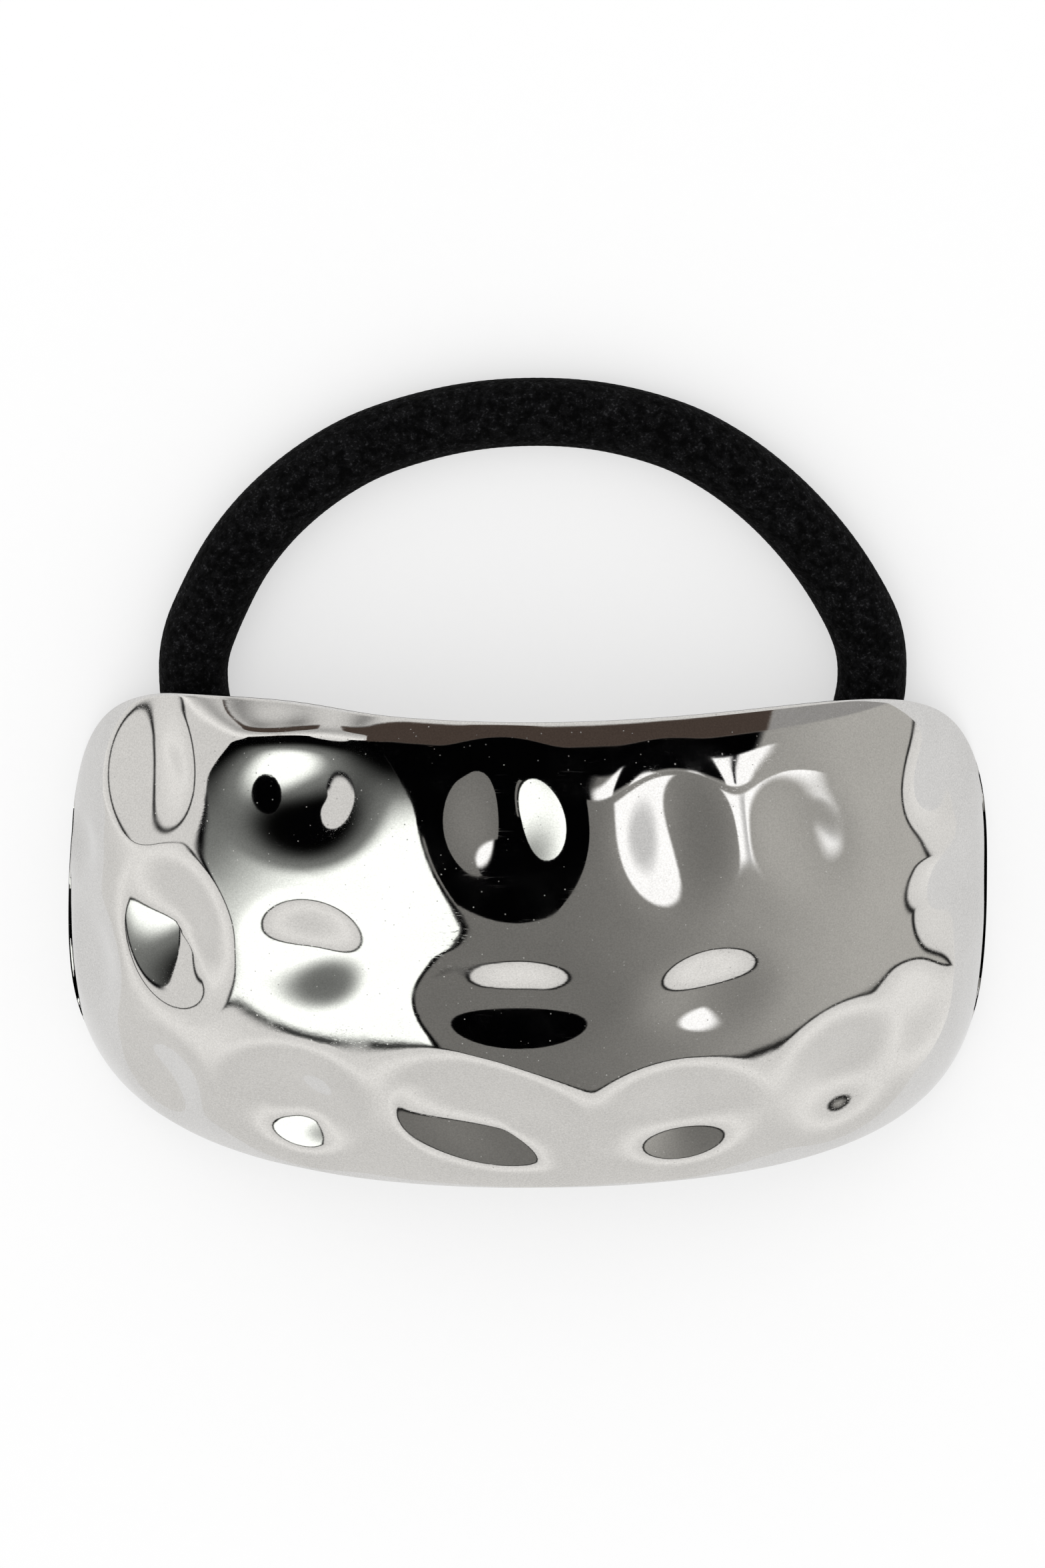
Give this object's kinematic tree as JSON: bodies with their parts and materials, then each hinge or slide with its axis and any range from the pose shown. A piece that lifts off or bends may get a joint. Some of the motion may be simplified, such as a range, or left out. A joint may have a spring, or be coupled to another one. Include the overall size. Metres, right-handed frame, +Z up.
{
  "type": "hair tie with a hammered metal plate",
  "caption": "Hair tie: a bowed, hammered and polished metal plate on a black covered elastic loop.",
  "frame": {"origin": "on the surface that the plate rests on, under the middle of the plate", "axes": "+X along the plate's width, +Y towards the arch of the elastic, +Z up through the plate's crown"},
  "size_m": [0.0622, 0.0517, 0.0187],
  "materials": {
    "polished_metal": "mirror polished over hammer marks",
    "black_elastic": "matte knitted cover over rubber",
    "crimp_metal": "plain crimped sleeve"
  },
  "bodies": {
    "root": {"plate": "polished_metal", "elastic": "black_elastic", "ferrule": "crimp_metal"}
  },
  "joints": []
}
